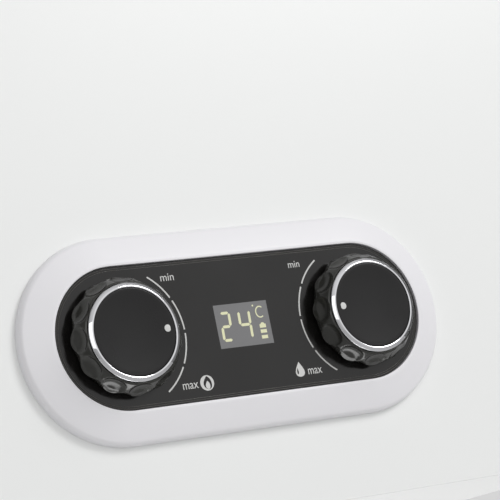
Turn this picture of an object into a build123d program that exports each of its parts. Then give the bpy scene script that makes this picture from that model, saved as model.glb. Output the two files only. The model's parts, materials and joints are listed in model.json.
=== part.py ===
"""Wall-hung gas water heater with an open flue, 550 x 330 x 191 mm over its knobs.

Millimetres. X runs to the right as seen from the room, Y into the wall and Z up. The origin is the
centre of the back plate's wall face, so the wall is the plane Y = 0 and the front is towards -Y.
"""

from build123d import *
import os

os.makedirs("parts", exist_ok=True)

# Case
case_width = 330.0
case_height = 550.0
case_depth = 173.5
case_corner_radius = 10.0
sheet = 1.0
back_sheet = 1.5
tray_flange = 14.0
tray_gap = 0.4
shadow_gap = 0.8

# Wall fixing
hang_spacing_x = 200.0
hang_spacing_z = 480.0
hang_hole_radius = 4.0

# Control panel: two knobs on one level with a display between them
control_z = -208.0
knob_spacing = 98.2
panel_radius = 25.5
bezel_radius = 37.2
bezel_rise = 7.7
bezel_lip = 1.2
bezel_edge = 2.2
panel_recess = 1.0
panel_thickness = 3.0
panel_gap = 0.15
bezel_ledge = 2.5
bezel_neck_radius = 30.6
bezel_neck_depth = 3.0
cover_cutout_gap = 0.4
window_width = 21.8
window_height = 15.6
window_gap = 0.1

# Knobs
knob_foot_gap = 0.5
knob_height = 10.8
knob_radius = 21.8
knob_foot_radius = 19.6
knob_shoulder_radius = 18.3
ring_radius = 17.4
ring_width = 1.8
ring_thickness = 1.6
dimple_count = 12
dimple_radius = 6.0
dimple_depth = 1.6
pointer_radius = 1.4
pointer_depth = 0.4
pointer_offset = 12.8
spindle_radius = 4.0
running_gap = 0.05
loose_gap = 0.5

# Valves
valve_set_back = 48.5
valve_back = -40.0
valve_corner_radius = 6.0
valve_bottom = -229.0
valve_top = -176.0
gas_valve_left = -85.0
gas_valve_right = -18.0
water_valve_left = 30.0
water_valve_right = 85.0
valve_level = -208.0
rod_set_back = 30.0
plug_radius = 12.0
plug_length = 32.0
gland_radius = 16.0
gland_thickness = 4.0
gland_spigot = 2.5
needle_radius = 6.0
needle_length = 26.0
needle_play = 2.0
needle_stub_radius = 3.0
diaphragm_radius = 29.0
diaphragm_thickness = 1.5
chamber_radius = 22.0
chamber_depth = 7.0
cover_thickness = 9.5
cover_wall = 2.0
rod_radius = 3.0
rod_plate_radius = 15.0
rod_plate_thickness = 2.0
disc_radius = 8.0
disc_thickness = 3.0
seat_bore_radius = 10.0
seat_bore_depth = 15.0
guide_flange = 2.0
collar_radius = 6.0
collar_length = 3.0
lever_length = 15.5
lever_thickness = 1.0
lever_width = 6.0
lever_pin_radius = 1.5
lever_overlap = 1.5

# Solenoid on the gas valve's side
coil_radius = 15.0
coil_length = 30.0
plunger_radius = 5.0
plunger_travel = 3.0
solenoid_z = -192.0

# Connections, G 1/2 outside thread
thread_radius = 10.48
tail_bore_radius = 7.5
valve_port_depth = 12.0
hot_tail_length = 45.0
connection_y = -52.0
connection_drop = 32.0
cold_x = 60.0
gas_x = -49.1
hot_x = -113.0
hot_y = -29.0
nut_across_flats = 27.0
nut_height = 9.0
nut_drop = 3.0
tray_hole_gap = 1.2

# Battery box for two D cells
cell_radius = 16.8
cell_length = 61.0
cell_gap = 1.2
box_wall = 2.0
box_inset = 73.0
box_set_back = 7.5
lid_thickness = 2.0
lid_gap = 0.5
hinge_radius = 2.6
hinge_pin_radius = 1.5
hinge_ear = 3.0
lid_back_gap = 1.5
box_flange = 4.0
contact_thickness = 0.6

# Burner, combustion chamber, heat exchanger and flue
chamber_width = 200.0
chamber_set_back = 25.5
chamber_back = -47.0
chamber_bottom = -66.0
chamber_top = 165.0
chamber_sheet = 1.2
fin_count = 28
fin_thickness = 0.8
fin_height = 52.0
fin_clearance = 1.5
fin_tube_radius = 8.0
fin_tube_wall = 1.0
fin_tube_pitch = 24.0
fin_tube_count = 4
fin_tube_overhang = 5.0
coil_tube_radius = 6.5
coil_tube_wall = 1.0
coil_turn_rise = 34.0
coil_start_rise = 70.0
coil_bend_ratio = 2.2
burner_bar_count = 10
burner_bar_width = 9.0
burner_bottom = -128.0
burner_height = 40.0
burner_frame_sheet = 1.5
port_count = 15
port_width = 1.5
port_depth = 3.0
injector_radius = 3.5
manifold_radius = 9.0
riser_offset = 13.0
hood_rise = 62.0
collar_pipe_radius = 55.0
collar_pipe_wall = 1.2
collar_rise = 32.0
bead_height = 2.0
bead_rise = 1.5
hood_depth = 92.0
hood_mouth_margin = 3.0
hood_mouth_trim = 7.0
hood_corner_radius = 40.0
collar_flange = 6.0
collar_flange_corner = 30.0

# Places that follow from the sizes above
half_width = case_width / 2
half_height = case_height / 2
front_y = -case_depth
inner_front_y = front_y + sheet
knob_x = knob_spacing / 2
rim_y = front_y - bezel_rise
panel_y = rim_y + panel_recess
panel_back_y = panel_y + panel_thickness
knob_foot_y = panel_y - knob_foot_gap
knob_face_y = panel_y - knob_height
chamber_front = front_y + chamber_set_back
chamber_mid_y = (chamber_front + chamber_back) / 2
valve_front = front_y + valve_set_back
rod_y = valve_front + rod_set_back
box_center_x = -half_width + box_inset
box_front = front_y + box_set_back


def room_plane(y):
    """A plane parallel to the wall at the given Y, drawn X to the right and Z up, facing the room."""
    return Plane(origin=(0, y, 0), x_dir=(1, 0, 0), z_dir=(0, -1, 0))


def wall_plane(y):
    """The same plane facing the wall, so that an extrusion runs towards +Y. Its own Y axis is -Z."""
    return Plane(origin=(0, y, 0), x_dir=(1, 0, 0), z_dir=(0, 1, 0))


def level(z):
    """A level plane at the given height."""
    return Plane.XY.offset(z)


def side_plane(x):
    """A plane square to X at the given X, drawn Y to the right and Z up."""
    return Plane.YZ.offset(x)


def save(piece, name):
    """Labels a finished piece and writes its file."""
    piece.label = name
    export_step(piece, f"parts/{name}.step")


def slab(x_range, y_range, z_range):
    """A plain block between three pairs of limits."""
    with BuildPart() as block:
        with BuildSketch(level(z_range[0])):
            with Locations(((x_range[0] + x_range[1]) / 2, (y_range[0] + y_range[1]) / 2)):
                Rectangle(x_range[1] - x_range[0], y_range[1] - y_range[0])
        extrude(amount=z_range[1] - z_range[0])
    return block.part


# Back plate with its four wall holes
with BuildPart() as back_plate:
    with BuildSketch(wall_plane(-back_sheet)):
        RectangleRounded(case_width, case_height, case_corner_radius / 2)
        with GridLocations(hang_spacing_x, hang_spacing_z, 2, 2):
            Circle(hang_hole_radius, mode=Mode.SUBTRACT)
    extrude(amount=back_sheet)
save(back_plate.part, "back_plate")

# Front cover: front, sides and top in one sheet, open to the wall and below
louvre_width = 46.0
louvre_height = 4.0
louvre_pitch = 12.0
louvre_rows = 6
louvre_low_rise = 125.0
louvre_high_drop = 85.0
flue_hole_gap = 6.0
screw_y = -120.0
screw_radius = 2.0
screw_head_radius = 4.0
screw_head_height = 2.2
screw_z = -half_height + tray_flange / 2 + sheet
tray_inner_half = half_width - sheet - tray_gap - sheet
with BuildPart() as front_cover:
    with BuildSketch(level(-half_height)):
        with Locations((0, -(case_depth + back_sheet) / 2)):
            Rectangle(case_width, case_depth - back_sheet)
    extrude(amount=case_height)
    fillet(front_cover.edges().filter_by(Axis.Z).group_by(Axis.Y)[0], case_corner_radius)
    top_front = front_cover.edges().filter_by(Axis.X).group_by(Axis.Z)[-1].sort_by(Axis.Y)[0]
    fillet(top_front, 2 * sheet)
    with BuildSketch(level(-half_height)) as cover_inside:
        with Locations((0, -(case_depth + back_sheet) / 2 + sheet)):
            Rectangle(case_width - 2 * sheet, case_depth - back_sheet)
        inner_corners = cover_inside.vertices().group_by(Axis.Y)[0]
        fillet(inner_corners, case_corner_radius - sheet)
    extrude(amount=case_height - sheet, mode=Mode.SUBTRACT)
    with BuildSketch(room_plane(inner_front_y)):
        with Locations((0, control_z)):
            SlotCenterToCenter(knob_spacing, 2 * (bezel_neck_radius + cover_cutout_gap))
    extrude(amount=sheet, mode=Mode.SUBTRACT)
    with BuildSketch(level(half_height - sheet)):
        with Locations((0, -hood_depth)):
            Circle(collar_pipe_radius + flue_hole_gap)
    extrude(amount=sheet, mode=Mode.SUBTRACT)
    for louvre_z in (-half_height + louvre_low_rise, half_height - louvre_high_drop):
        with BuildSketch(side_plane(-half_width)):
            with Locations((-case_depth / 2, louvre_z)):
                with GridLocations(louvre_width + louvre_pitch, louvre_pitch, 2, louvre_rows):
                    SlotOverall(louvre_width, louvre_height)
        extrude(amount=case_width, mode=Mode.SUBTRACT)
    with BuildSketch(side_plane(-half_width)):
        with Locations((screw_y, screw_z)):
            Circle(screw_radius)
    extrude(amount=case_width, mode=Mode.SUBTRACT)
save(front_cover.part, "front_cover")

# Battery box places, which the bottom tray is cut for
box_inner_x = cell_length + 2 * (contact_thickness + cell_gap)
box_inner_y = 4 * cell_radius + 3 * cell_gap
box_inner_z = 2 * cell_radius + 2 * cell_gap
box_left = box_center_x - box_inner_x / 2 - box_wall
box_right = box_center_x + box_inner_x / 2 + box_wall
box_inner_front = box_front + box_wall
box_inner_back = box_inner_front + box_inner_y
hinge_y = box_inner_back + hinge_radius
box_back = box_inner_back + 2 * hinge_radius + lid_gap + box_wall
hinge_z = -half_height + hinge_radius
box_floor_z = -half_height + 2 * hinge_radius
box_roof_z = box_floor_z + box_inner_z

# Corner radius of the hexagon on each connection
nut_corner_radius = nut_across_flats / 3**0.5

# Bottom tray with a turned-up flange, let in behind the front cover's lower edge
tray_front = inner_front_y + shadow_gap
tray_width = 2 * (tray_inner_half + sheet)
tray_depth = -back_sheet - tray_front
intake_width = 60.0
intake_height = 4.0
intake_pitch = 9.0
intake_rows = 3
with BuildPart() as bottom_tray:
    with BuildSketch(level(-half_height)):
        with Locations((0, (tray_front - back_sheet) / 2)):
            Rectangle(tray_width, tray_depth)
    extrude(amount=tray_flange)
    fillet(bottom_tray.edges().filter_by(Axis.Z).group_by(Axis.Y)[0], case_corner_radius - 2 * sheet)
    with BuildSketch(level(-half_height + sheet)) as tray_inside:
        with Locations((0, (tray_front - back_sheet) / 2 + sheet / 2)):
            Rectangle(2 * tray_inner_half, tray_depth - sheet)
        fillet(tray_inside.vertices().group_by(Axis.Y)[0], case_corner_radius - 3 * sheet)
    extrude(amount=tray_flange, mode=Mode.SUBTRACT)
    with BuildSketch(level(-half_height)):
        with Locations((cold_x, connection_y), (gas_x, connection_y), (hot_x, hot_y)):
            Circle(nut_corner_radius + tray_hole_gap)
        with Locations((box_center_x, (box_front + box_back) / 2)):
            Rectangle(box_right - box_left + 2 * lid_gap, box_back - box_front + 2 * lid_gap)
        with Locations((gas_x / 2 + cold_x / 2, connection_y)):
            with GridLocations(0, intake_pitch, 1, intake_rows):
                SlotOverall(intake_width, intake_height)
    extrude(amount=sheet, mode=Mode.SUBTRACT)
    with BuildSketch(side_plane(-half_width)):
        with Locations((screw_y, screw_z)):
            Circle(screw_radius)
    extrude(amount=case_width, mode=Mode.SUBTRACT)
save(bottom_tray.part, "bottom_tray")

# Two screws that hold the cover to the tray's flange
cover_screws = []
for side in (-1, 1):
    start = side * (half_width + screw_head_height)
    with BuildPart() as cover_screw:
        with BuildSketch(side_plane(start)):
            with Locations((screw_y, screw_z)):
                Circle(screw_head_radius)
        extrude(amount=-side * screw_head_height)
        with BuildSketch(side_plane(side * half_width)):
            with Locations((screw_y, screw_z)):
                Circle(screw_radius)
        extrude(amount=-side * 6 * sheet)
    cover_screws.append(cover_screw.part)
save(Compound(children=cover_screws), "cover_screws")

# White bezel: an oval ring that rises from the cover and slopes in to a narrow rim
slope_width = bezel_radius - panel_radius - bezel_lip
slope_rise = bezel_rise - bezel_edge
with BuildPart() as bezel:
    with BuildSketch(room_plane(front_y)):
        with Locations((0, control_z)):
            SlotCenterToCenter(knob_spacing, 2 * bezel_radius)
    extrude(amount=bezel_edge)
    with BuildSketch(room_plane(front_y - bezel_edge)):
        with Locations((0, control_z)):
            SlotCenterToCenter(knob_spacing, 2 * bezel_radius)
    with BuildSketch(room_plane(rim_y)):
        with Locations((0, control_z)):
            SlotCenterToCenter(knob_spacing, 2 * (bezel_radius - slope_width))
    loft()
    with BuildSketch(wall_plane(front_y)):
        with Locations((0, -control_z)):
            SlotCenterToCenter(knob_spacing, 2 * bezel_neck_radius)
    extrude(amount=bezel_neck_depth)
    with BuildSketch(room_plane(rim_y)):
        with Locations((0, control_z)):
            SlotCenterToCenter(knob_spacing, 2 * panel_radius)
    extrude(amount=-(panel_recess + panel_thickness), mode=Mode.SUBTRACT)
    with BuildSketch(room_plane(panel_back_y)):
        with Locations((0, control_z)):
            SlotCenterToCenter(knob_spacing, 2 * (panel_radius - bezel_ledge))
    extrude(amount=panel_back_y - front_y - bezel_neck_depth, mode=Mode.SUBTRACT)
save(bezel.part, "bezel")

# Black control panel with four posts behind it for the display board
post_radius = 2.0
post_length = 8.0
board_width = 62.0
board_height = 34.0
board_thickness = 1.6
post_inset = 4.0
post_hole_gap = 0.3
post_end_y = panel_back_y + post_length
with BuildPart() as control_panel:
    with BuildSketch(wall_plane(panel_y)):
        with Locations((0, -control_z)):
            SlotCenterToCenter(knob_spacing, 2 * (panel_radius - panel_gap))
            Rectangle(window_width + 2 * window_gap, window_height + 2 * window_gap, mode=Mode.SUBTRACT)
        with Locations((-knob_x, -control_z), (knob_x, -control_z)):
            Circle(spindle_radius + loose_gap, mode=Mode.SUBTRACT)
    extrude(amount=panel_thickness)
    with BuildSketch(wall_plane(panel_back_y)):
        with Locations((0, -control_z)):
            with GridLocations(board_width - 2 * post_inset, board_height - 2 * post_inset, 2, 2):
                Circle(post_radius)
    extrude(amount=post_length)
save(control_panel.part, "control_panel")

# Display window, flush with the panel, and its board on the posts
with BuildPart() as display_window:
    with BuildSketch(wall_plane(panel_y)):
        with Locations((0, -control_z)):
            Rectangle(window_width, window_height)
    extrude(amount=panel_thickness)
save(display_window.part, "display_window")

with BuildPart() as display_board:
    with BuildSketch(wall_plane(panel_back_y)):
        with Locations((0, -control_z)):
            Rectangle(window_width + 6 * window_gap, window_height + 6 * window_gap)
    extrude(amount=post_length)
    with BuildSketch(wall_plane(post_end_y)):
        with Locations((0, -control_z)):
            Rectangle(board_width, board_height)
    extrude(amount=board_thickness)
save(display_board.part, "display_board")


def knob_set(side, quarter_offset, pointer_side, spindle_end):
    """One knob with its chrome ring, face cap, pointer dot and spindle.

    side is "left" or "right", quarter_offset turns the dimples, pointer_side is the dot's
    direction along X and spindle_end the Y where the spindle meets its valve.
    """
    x = -knob_x if side == "left" else knob_x
    shoulder_y = knob_face_y + ring_thickness
    centre = Plane(origin=(x, 0, control_z), x_dir=(1, 0, 0), z_dir=(0, 0, 1))
    wide_y = (knob_foot_y + knob_face_y) / 2 + ring_thickness
    with BuildPart() as knob:
        with BuildSketch(centre):
            with BuildLine():
                Polyline(
                    (0, knob_foot_y),
                    (knob_foot_radius, knob_foot_y),
                    (knob_radius, wide_y),
                    (knob_shoulder_radius, shoulder_y),
                    (ring_radius, shoulder_y),
                    (ring_radius, shoulder_y + ring_thickness),
                    (0, shoulder_y + ring_thickness),
                    (0, knob_foot_y),
                )
            make_face()
        revolve(axis=Axis((x, 0, control_z), (0, 1, 0)))
        dimple_y = (wide_y + shoulder_y) / 2
        ball_at = knob_radius - dimple_depth / 2 + dimple_radius
        with Locations(room_plane(dimple_y)):
            with Locations((x, control_z)):
                with PolarLocations(ball_at, dimple_count, start_angle=quarter_offset):
                    Sphere(dimple_radius, mode=Mode.SUBTRACT)
        with BuildSketch(room_plane(knob_foot_y)):
            with Locations((x, control_z)):
                Circle(spindle_radius)
        extrude(amount=knob_height / 2, mode=Mode.SUBTRACT)
    save(knob.part, f"{side}_knob")

    with BuildPart() as ring:
        with BuildSketch(centre):
            with BuildLine():
                Polyline(
                    (ring_radius - ring_width, shoulder_y + ring_thickness),
                    (ring_radius, shoulder_y + ring_thickness),
                    (ring_radius, shoulder_y - ring_thickness / 3),
                    (ring_radius - ring_width / 3, knob_face_y - ring_thickness / 8),
                    (ring_radius - 2 * ring_width / 3, knob_face_y - ring_thickness / 8),
                    (ring_radius - ring_width, knob_face_y + ring_thickness / 8),
                    (ring_radius - ring_width, shoulder_y + ring_thickness),
                )
            make_face()
        revolve(axis=Axis((x, 0, control_z), (0, 1, 0)))
    save(ring.part, f"{side}_knob_ring")

    with BuildPart() as cap:
        with BuildSketch(room_plane(shoulder_y + ring_thickness)):
            with Locations((x, control_z)):
                Circle(ring_radius - ring_width)
        extrude(amount=2 * ring_thickness)
        with BuildSketch(room_plane(knob_face_y + pointer_depth)):
            with Locations((x + pointer_side * pointer_offset, control_z)):
                Circle(pointer_radius)
        extrude(amount=pointer_depth, mode=Mode.SUBTRACT)
    save(cap.part, f"{side}_knob_cap")

    with BuildPart() as pointer:
        with BuildSketch(room_plane(knob_face_y + pointer_depth)):
            with Locations((x + pointer_side * pointer_offset, control_z)):
                Circle(pointer_radius)
        extrude(amount=pointer_depth)
    save(pointer.part, f"{side}_knob_pointer")

    with BuildPart() as spindle:
        with BuildSketch(wall_plane(knob_foot_y - knob_height / 2)):
            with Locations((x, -control_z)):
                Circle(spindle_radius)
        extrude(amount=spindle_end - (knob_foot_y - knob_height / 2))
        if side == "right":
            with BuildSketch(wall_plane(spindle_end)):
                with Locations((x, -control_z)):
                    Circle(needle_stub_radius)
            extrude(amount=needle_length / 2)
    save(spindle.part, f"{side}_spindle")


spindle_end_y = valve_front + gland_spigot + loose_gap
knob_set("left", 0, 1, spindle_end_y)
knob_set("right", 360 / dimple_count / 2, -1, spindle_end_y)

# Steel bracket that steadies both spindles behind the panel
bracket_thickness = 1.5
bracket_height = 40.0
bracket_gap = 13.0
bracket_y = valve_front - gland_thickness - bracket_gap - bracket_thickness
with BuildPart() as control_bracket:
    with BuildSketch(wall_plane(bracket_y)):
        with Locations((0, -control_z)):
            Rectangle(2 * (half_width - sheet), bracket_height)
        with Locations((-knob_x, -control_z), (knob_x, -control_z)):
            Circle(spindle_radius + loose_gap, mode=Mode.SUBTRACT)
    extrude(amount=bracket_thickness)
save(control_bracket.part, "control_bracket")

# Gas valve body: a plug bore behind the left knob and a seat bore towards the push rod
plug_front = valve_front + gland_spigot
inlet_bore_top = valve_bottom + valve_port_depth
with BuildPart() as gas_valve_body:
    with BuildSketch(level(valve_bottom)):
        with Locations(((gas_valve_left + gas_valve_right) / 2, (valve_front + valve_back) / 2)):
            RectangleRounded(gas_valve_right - gas_valve_left, valve_back - valve_front, valve_corner_radius)
    extrude(amount=valve_top - valve_bottom)
    with BuildSketch(wall_plane(valve_front)):
        with Locations((-knob_x, -control_z)):
            Circle(plug_radius)
    extrude(amount=gland_spigot + plug_length + loose_gap, mode=Mode.SUBTRACT)
    with BuildSketch(side_plane(gas_valve_right)):
        with Locations((rod_y, valve_level)):
            Circle(seat_bore_radius)
    extrude(amount=-seat_bore_depth, mode=Mode.SUBTRACT)
    with BuildSketch(level(valve_bottom)):
        with Locations((gas_x, connection_y)):
            Circle(tail_bore_radius)
    extrude(amount=inlet_bore_top - valve_bottom, mode=Mode.SUBTRACT)
    with BuildSketch(side_plane(gas_valve_left)):
        with Locations((rod_y, solenoid_z)):
            Circle(plunger_radius + loose_gap)
    extrude(amount=plunger_travel + loose_gap, mode=Mode.SUBTRACT)
save(gas_valve_body.part, "gas_valve_body")

# Plug that the left knob turns, with its gas port
with BuildPart() as gas_plug:
    with BuildSketch(wall_plane(plug_front + loose_gap)):
        with Locations((-knob_x, -control_z)):
            Circle(plug_radius - running_gap)
    extrude(amount=plug_length - loose_gap)
    with BuildSketch(level(valve_bottom)):
        with Locations((-knob_x, plug_front + plug_length / 2)):
            Circle(plug_radius / 2)
    extrude(amount=valve_top - valve_bottom, mode=Mode.SUBTRACT)
save(gas_plug.part, "gas_plug")


def gland(name, x, bore):
    """Brass gland that closes a valve bore round its spindle."""
    with BuildPart() as nut:
        with BuildSketch(room_plane(valve_front)):
            with Locations((x, control_z)):
                Circle(gland_radius)
        extrude(amount=gland_thickness)
        with BuildSketch(wall_plane(valve_front)):
            with Locations((x, -control_z)):
                Circle(bore)
        extrude(amount=gland_spigot)
        with BuildSketch(wall_plane(valve_front - gland_thickness)):
            with Locations((x, -control_z)):
                Circle(spindle_radius + running_gap)
        extrude(amount=gland_thickness + gland_spigot, mode=Mode.SUBTRACT)
    save(nut.part, name)


gland("gas_gland", -knob_x, plug_radius)
gland("water_gland", knob_x, needle_radius + running_gap)

# Water valve body: a needle bore behind the right knob and half of the diaphragm chamber
needle_front = plug_front + needle_play
flange_left = water_valve_left - chamber_depth - 2 * cover_wall
with BuildPart() as water_valve_body:
    with BuildSketch(level(valve_bottom)):
        with Locations(((water_valve_left + water_valve_right) / 2, (valve_front + valve_back) / 2)):
            RectangleRounded(water_valve_right - water_valve_left, valve_back - valve_front, valve_corner_radius)
    extrude(amount=valve_top - valve_bottom)
    with BuildSketch(side_plane(flange_left)):
        with Locations((rod_y, valve_level)):
            Circle(diaphragm_radius)
    extrude(amount=water_valve_left - flange_left + 2 * cover_wall)
    with BuildSketch(side_plane(flange_left)):
        with Locations((rod_y, valve_level)):
            Circle(chamber_radius)
    extrude(amount=chamber_depth, mode=Mode.SUBTRACT)
    with BuildSketch(wall_plane(valve_front)):
        with Locations((knob_x, -control_z)):
            Circle(needle_radius + running_gap)
    needle_bore = gland_spigot + needle_length + 2 * needle_play
    extrude(amount=needle_bore, mode=Mode.SUBTRACT)
    with BuildSketch(level(valve_bottom)):
        with Locations((cold_x, connection_y)):
            Circle(tail_bore_radius)
    extrude(amount=inlet_bore_top - valve_bottom, mode=Mode.SUBTRACT)
save(water_valve_body.part, "water_valve_body")

# Regulating needle, screwed in and out along Y by the right spindle
with BuildPart() as water_needle:
    with BuildSketch(wall_plane(needle_front)):
        with Locations((knob_x, -control_z)):
            Circle(needle_radius)
    extrude(amount=needle_length)
    with BuildSketch(wall_plane(needle_front)):
        with Locations((knob_x, -control_z)):
            Circle(needle_stub_radius + 2 * running_gap)
    extrude(amount=needle_length / 2 + 2 * needle_play, mode=Mode.SUBTRACT)
    chamfer(water_needle.faces().sort_by(Axis.Y)[-1].edges(), needle_radius / 2)
save(water_needle.part, "water_needle")

# Rubber diaphragm and the cover that clamps it
diaphragm_left = flange_left - diaphragm_thickness
cover_left = diaphragm_left - cover_thickness
with BuildPart() as diaphragm:
    with BuildSketch(side_plane(diaphragm_left)):
        with Locations((rod_y, valve_level)):
            Circle(diaphragm_radius)
    extrude(amount=diaphragm_thickness)
save(diaphragm.part, "diaphragm")

bolt_circle_radius = (diaphragm_radius + chamber_radius) / 2
bolt_head_radius = 3.2
bolt_head_height = 3.0
bolt_count = 6
with BuildPart() as diaphragm_cover:
    with BuildSketch(side_plane(cover_left)):
        with Locations((rod_y, valve_level)):
            Circle(diaphragm_radius)
            Circle(rod_radius + running_gap, mode=Mode.SUBTRACT)
    extrude(amount=cover_wall)
    with BuildSketch(side_plane(cover_left + cover_wall)):
        with Locations((rod_y, valve_level)):
            Circle(diaphragm_radius)
            Circle(chamber_radius, mode=Mode.SUBTRACT)
    extrude(amount=cover_thickness - cover_wall)
save(diaphragm_cover.part, "diaphragm_cover")

cover_bolts = []
for place in range(bolt_count):
    bolt_plane = Plane(origin=(cover_left, rod_y, valve_level), x_dir=(0, 1, 0), z_dir=(-1, 0, 0))
    with BuildPart() as cover_bolt:
        with BuildSketch(bolt_plane):
            with PolarLocations(bolt_circle_radius, 1, start_angle=360 / bolt_count * place):
                RegularPolygon(bolt_head_radius, 6)
        extrude(amount=bolt_head_height)
    cover_bolts.append(cover_bolt.part)
save(Compound(children=cover_bolts), "cover_bolts")

# Push rod from the diaphragm plate through the cover to the gas disc, with the switch collar
plate_left = diaphragm_left - loose_gap - rod_plate_thickness
seat_mouth = gas_valve_right
disc_left = seat_mouth - guide_flange - loose_gap - disc_thickness - 2 * sheet
collar_left = (cover_left + seat_mouth) / 2
with BuildPart() as push_rod:
    with BuildSketch(side_plane(disc_left + disc_thickness)):
        with Locations((rod_y, valve_level)):
            Circle(rod_radius)
    extrude(amount=plate_left - disc_left - disc_thickness)
    with BuildSketch(side_plane(plate_left)):
        with Locations((rod_y, valve_level)):
            Circle(rod_plate_radius)
    extrude(amount=rod_plate_thickness)
    with BuildSketch(side_plane(collar_left)):
        with Locations((rod_y, valve_level)):
            Circle(collar_radius)
    extrude(amount=collar_length)
save(push_rod.part, "push_rod")

with BuildPart() as gas_disc:
    with BuildSketch(side_plane(disc_left)):
        with Locations((rod_y, valve_level)):
            Circle(disc_radius)
    extrude(amount=disc_thickness)
save(gas_disc.part, "gas_disc")

with BuildPart() as rod_guide:
    with BuildSketch(side_plane(seat_mouth - guide_flange)):
        with Locations((rod_y, valve_level)):
            Circle(seat_bore_radius)
    extrude(amount=guide_flange)
    with BuildSketch(side_plane(seat_mouth)):
        with Locations((rod_y, valve_level)):
            Circle(seat_bore_radius + guide_flange)
    extrude(amount=guide_flange)
    with BuildSketch(side_plane(seat_mouth - guide_flange)):
        with Locations((rod_y, valve_level)):
            Circle(rod_radius + running_gap)
    extrude(amount=2 * guide_flange, mode=Mode.SUBTRACT)
save(rod_guide.part, "rod_guide")

# Microswitch over the rod on a small bracket, with its lever hanging in front of the collar
lever_right = collar_left - loose_gap
lever_pivot_x = lever_right - lever_thickness / 2
lever_pivot_z = valve_level + collar_radius - lever_overlap + lever_length
switch_height = 12.0
switch_length = 18.0
switch_ear = 3.0
switch_bottom = lever_pivot_z + 2 * lever_pin_radius
with BuildPart() as microswitch:
    with BuildSketch(level(switch_bottom)):
        with Locations((lever_pivot_x, rod_y)):
            Rectangle(switch_length, lever_width + 2 * (lever_pin_radius + switch_ear))
    extrude(amount=switch_height)
    for ear_side in (-1, 1):
        ear_y = rod_y + ear_side * (lever_width / 2 + lever_pin_radius + switch_ear / 2)
        with BuildSketch(level(lever_pivot_z - 2 * lever_pin_radius)):
            with Locations((lever_pivot_x, ear_y)):
                Rectangle(4 * lever_pin_radius, switch_ear)
        extrude(amount=4 * lever_pin_radius)
    with BuildSketch(wall_plane(rod_y - lever_width - switch_ear)):
        with Locations((lever_pivot_x, -lever_pivot_z)):
            Circle(lever_pin_radius + running_gap)
    extrude(amount=2 * (lever_width + switch_ear), mode=Mode.SUBTRACT)
save(microswitch.part, "microswitch")

with BuildPart() as switch_lever:
    with BuildSketch(level(lever_pivot_z - lever_length)):
        with Locations((lever_pivot_x, rod_y)):
            Rectangle(lever_thickness, lever_width)
    extrude(amount=lever_length)
    with BuildSketch(wall_plane(rod_y - lever_width / 2 - lever_pin_radius - switch_ear)):
        with Locations((lever_pivot_x, -lever_pivot_z)):
            Circle(lever_pin_radius)
    extrude(amount=lever_width + 2 * (lever_pin_radius + switch_ear))
save(switch_lever.part, "switch_lever")

switch_bridge_z = switch_bottom + switch_height
foot = 12.0
with BuildPart() as switch_bracket:
    with BuildSketch(level(switch_bridge_z)):
        with Locations(((gas_valve_right + water_valve_left) / 2, rod_y)):
            Rectangle(water_valve_left - gas_valve_right + 2 * foot, 2 * lever_width)
    extrude(amount=back_sheet)
    for foot_x in (gas_valve_right - foot / 2, water_valve_left + foot / 2):
        with BuildSketch(level(valve_top)):
            with Locations((foot_x, rod_y)):
                Rectangle(foot, 2 * lever_width)
        extrude(amount=switch_bridge_z - valve_top)
save(switch_bracket.part, "switch_bracket")

# Safety solenoid on the gas valve's left side
coil_plane_x = gas_valve_left - coil_length
with BuildPart() as solenoid_coil:
    with BuildSketch(side_plane(coil_plane_x)):
        with Locations((rod_y, solenoid_z)):
            Circle(coil_radius)
            Circle(plunger_radius + running_gap, mode=Mode.SUBTRACT)
    extrude(amount=coil_length)
save(solenoid_coil.part, "solenoid_coil")

with BuildPart() as solenoid_plunger:
    with BuildSketch(side_plane(coil_plane_x + loose_gap)):
        with Locations((rod_y, solenoid_z)):
            Circle(plunger_radius)
    extrude(amount=coil_length - loose_gap)
save(solenoid_plunger.part, "solenoid_plunger")


def connection(name, x, y, top_z):
    """A threaded tail below the tray, its hexagon and the pipe up to top_z."""
    bottom_z = -half_height - connection_drop
    with BuildPart() as tail:
        with BuildSketch(level(bottom_z)):
            with Locations((x, y)):
                Circle(thread_radius)
        extrude(amount=top_z - bottom_z)
        with BuildSketch(level(-half_height - nut_drop)):
            with Locations((x, y)):
                RegularPolygon(nut_across_flats / 2, 6, major_radius=False)
        extrude(amount=nut_height)
        with BuildSketch(level(bottom_z)):
            with Locations((x, y)):
                Circle(tail_bore_radius)
        extrude(amount=top_z - bottom_z, mode=Mode.SUBTRACT)
    save(tail.part, name)


hot_tail_top = -half_height + hot_tail_length
connection("cold_inlet", cold_x, connection_y, valve_bottom)
connection("gas_inlet", gas_x, connection_y, valve_bottom)
connection("hot_outlet", hot_x, hot_y, hot_tail_top)

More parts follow.
